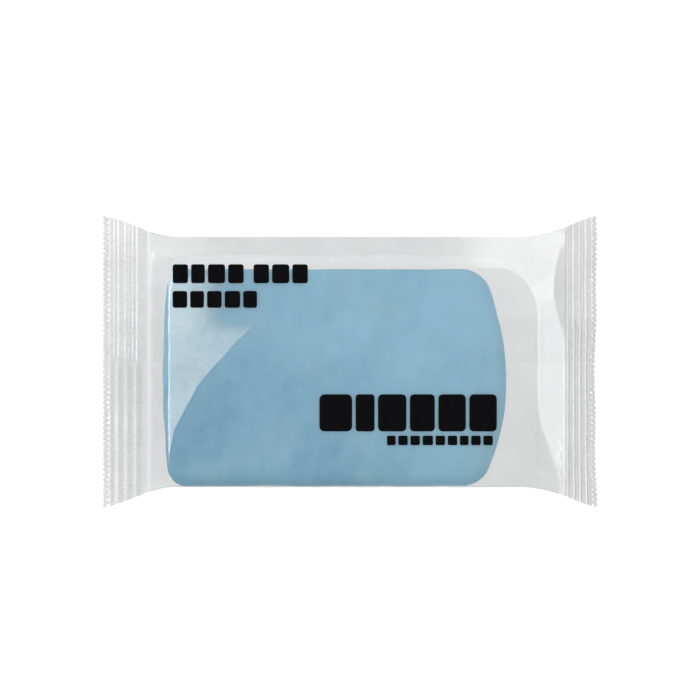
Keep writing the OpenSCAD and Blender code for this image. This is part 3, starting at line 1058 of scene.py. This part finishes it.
def ink_material():
    """Black flexo ink: satin, with tiny pinholes of grey."""
    made, tree, shader, place = new_material("black_ink")
    pinholes = remap(tree, noise(tree, place, 0.35, 4, 0.7), 0.62, 0.75, 0.0, 0.25)
    colour = mix_colour(tree, pinholes, tuple(settings("ink").tint), PINHOLE_GREY)
    drive(tree, shader, "Base Color", colour)
    drive(tree, shader, "Roughness", remap(tree, noise(tree, place, 0.6, 4), 0.3, 0.7, 0.28, 0.42))
    drive(tree, shader, "Specular IOR Level", 0.03)
    return made


def floor_material():
    """A plain white acrylic table, lit softly from below, with the faintest unevenness."""
    made, tree, shader, place = new_material("pale_floor")
    shade = remap(tree, noise(tree, place, 60, 2), 0.3, 0.7, 0.0, 1.0)
    colour = mix_colour(tree, shade, (0.17, 0.17, 0.17), (0.19, 0.19, 0.19))
    drive(tree, shader, "Base Color", colour)
    drive(tree, shader, "Roughness", 0.9)
    drive(tree, shader, "Specular IOR Level", 0.1)
    drive(tree, shader, "Emission Color", (1, 1, 1, 1))
    drive(tree, shader, "Emission Strength", 0.90)
    return made


# ---- Stage ----

# Name, place, target and size in metres, and power in watts
LIGHTS = (
    ("key_left", (-0.85, 0.30, 0.85), (0, 0, 0), (0.8, 0.8), 5.5),
    ("key_right", (0.85, 0.10, 0.75), (0, 0, 0), (0.8, 0.8), 1.3),
    ("key_far", (0.05, 0.95, 0.75), (0, 0, 0), (1.0, 0.7), 1.3),
    ("side_right", (0.85, -0.05, 0.25), (0.03, 0, 0), (0.9, 0.25), 0.8),
    ("side_left", (-0.85, 0.05, 0.25), (-0.03, 0, 0), (0.9, 0.25), 1.2),
)
FLOOR_HALF, FLOOR_THICK, FLOOR_DROP = 2500.0, 4.0, 0.05  # millimetres
CAMERA_Y = 0.0027  # metres
SENSOR_WIDTH = 36  # millimetres
FILM_OVER_FILM = 32  # sheets of film that one ray may pass through


def area_light(name, place, target, size, power):
    """A soft rectangular light at place, turned towards target."""
    light = bpy.data.lights.new(name, "AREA")
    light.shape = "RECTANGLE"
    light.size, light.size_y = size
    light.energy = power
    made = bpy.data.objects.new(name, light)
    made.location = place
    made.rotation_mode = "QUATERNION"
    aim = np.array(target, float) - np.array(place, float)
    made.rotation_quaternion = Vector(aim).to_track_quat("-Z", "Y")
    made.visible_camera = False
    bpy.context.collection.objects.link(made)


def make_stage():
    """Pale floor, soft lights on three sides, a bright even surround, and the camera straight above."""
    scene = bpy.context.scene
    stage = settings("stage")
    corners = FLOOR_HALF * np.array([[-1.0, -1.0], [1.0, -1.0], [1.0, 1.0], [-1.0, 1.0]])
    top = np.hstack([corners, np.full((4, 1), -FLOOR_DROP)])
    sides = [[0, 1, 2, 3], [7, 6, 5, 4], [1, 0, 4, 5], [2, 1, 5, 6], [3, 2, 6, 7], [0, 3, 7, 4]]
    points = np.concatenate([top, top - [0, 0, FLOOR_THICK]])
    floor = new_object("floor", points, [np.array(sides)], smooth=False)
    floor.data.materials.append(floor_material())

    world = bpy.data.worlds.new("studio")
    scene.world = world
    world.use_nodes = True
    surround = world.node_tree.nodes["Background"]
    drive(world.node_tree, surround, "Color", (1, 1, 1, 1))
    drive(world.node_tree, surround, "Strength", 1.0)
    for light in LIGHTS:
        area_light(*light)

    camera = bpy.data.cameras.new("camera")
    camera.lens = stage.lens
    camera.sensor_width = SENSOR_WIDTH
    holder = bpy.data.objects.new("camera", camera)
    distance = stage.view_width * stage.lens / camera.sensor_width
    holder.location = (0.0, CAMERA_Y, PLATEAU_Z * MM * 0.7 + distance)
    bpy.context.collection.objects.link(holder)
    scene.camera = holder
    scene.view_settings.view_transform = "Standard"
    scene.cycles.transparent_max_bounces = FILM_OVER_FILM


# ---- Operators and panel ----


class FLOWWRAP_OT_stage(bpy.types.Operator):
    """Make the floor, the lights and the camera"""

    bl_idname = "flowwrap.stage"
    bl_label = "Stage"

    def execute(self, context):
        make_stage()
        return {"FINISHED"}


class FLOWWRAP_OT_clay(bpy.types.Operator):
    """Make the block of clay"""

    bl_idname = "flowwrap.clay"
    bl_label = "Clay block"

    def execute(self, context):
        make_clay(clay_material())
        return {"FINISHED"}


class FLOWWRAP_OT_sleeve(bpy.types.Operator):
    """Make the film's front and both halves of its back"""

    bl_idname = "flowwrap.sleeve"
    bl_label = "Film sleeve"

    def execute(self, context):
        make_sleeve(film_material())
        return {"FINISHED"}


class FLOWWRAP_OT_fin(bpy.types.Operator):
    """Make the fin seal on the back"""

    bl_idname = "flowwrap.fin"
    bl_label = "Fin seal"

    def execute(self, context):
        make_fin(film_material("fin_film", FIN_THINNESS))
        return {"FINISHED"}


class FLOWWRAP_OT_end_seals(bpy.types.Operator):
    """Make both crimped end seals"""

    bl_idname = "flowwrap.end_seals"
    bl_label = "End seals"

    def execute(self, context):
        material = film_material("crimped_film")
        tail_material = film_material("fin_tail_film", FIN_THINNESS)
        make_seal("left", material, tail_material)
        make_seal("right", material, tail_material)
        return {"FINISHED"}


class FLOWWRAP_OT_print(bpy.types.Operator):
    """Make the printed blocks"""

    bl_idname = "flowwrap.print"
    bl_label = "Print"

    def execute(self, context):
        material = ink_material()
        for line, (widths, gap) in PRINT_ROWS.items():
            low, high = PRINT_BOX[line]
            blocks = block_row(low[0], low[1], high[1] - low[1], widths, gap)
            print_blocks("ink_" + line, line + "_print", blocks, material)
        return {"FINISHED"}


MAKERS = (
    FLOWWRAP_OT_stage,
    FLOWWRAP_OT_clay,
    FLOWWRAP_OT_sleeve,
    FLOWWRAP_OT_fin,
    FLOWWRAP_OT_end_seals,
    FLOWWRAP_OT_print,
)


class FLOWWRAP_PT_panel(bpy.types.Panel):
    """Lists what the add-on makes"""

    bl_idname = "FLOWWRAP_PT_panel"
    bl_label = "Clay pack"
    bl_space_type = "VIEW_3D"
    bl_region_type = "UI"
    bl_category = "Clay pack"

    def draw(self, context):
        for maker in MAKERS:
            self.layout.operator(maker.bl_idname)


GROUPS = {
    "film": FilmSettings,
    "seal": SealSettings,
    "clay": ClaySettings,
    "ink": PrintSettings,
    "stage": StageSettings,
}


def register():
    """Registers the settings, the operators and the panel."""
    for name, group in GROUPS.items():
        bpy.utils.register_class(group)
        setattr(bpy.types.Scene, "clay_pack_" + name, PointerProperty(type=group))
    for maker in (*MAKERS, FLOWWRAP_PT_panel):
        bpy.utils.register_class(maker)


def unregister():
    """Takes away what register added."""
    for maker in reversed((*MAKERS, FLOWWRAP_PT_panel)):
        bpy.utils.unregister_class(maker)
    for name, group in reversed(GROUPS.items()):
        delattr(bpy.types.Scene, "clay_pack_" + name)
        bpy.utils.unregister_class(group)


def main():
    """Builds the pack."""
    register()
    bpy.ops.flowwrap.stage()
    bpy.ops.flowwrap.clay()
    bpy.ops.flowwrap.sleeve()
    bpy.ops.flowwrap.fin()
    bpy.ops.flowwrap.end_seals()
    bpy.ops.flowwrap.print()


if __name__ == "__main__":
    main()
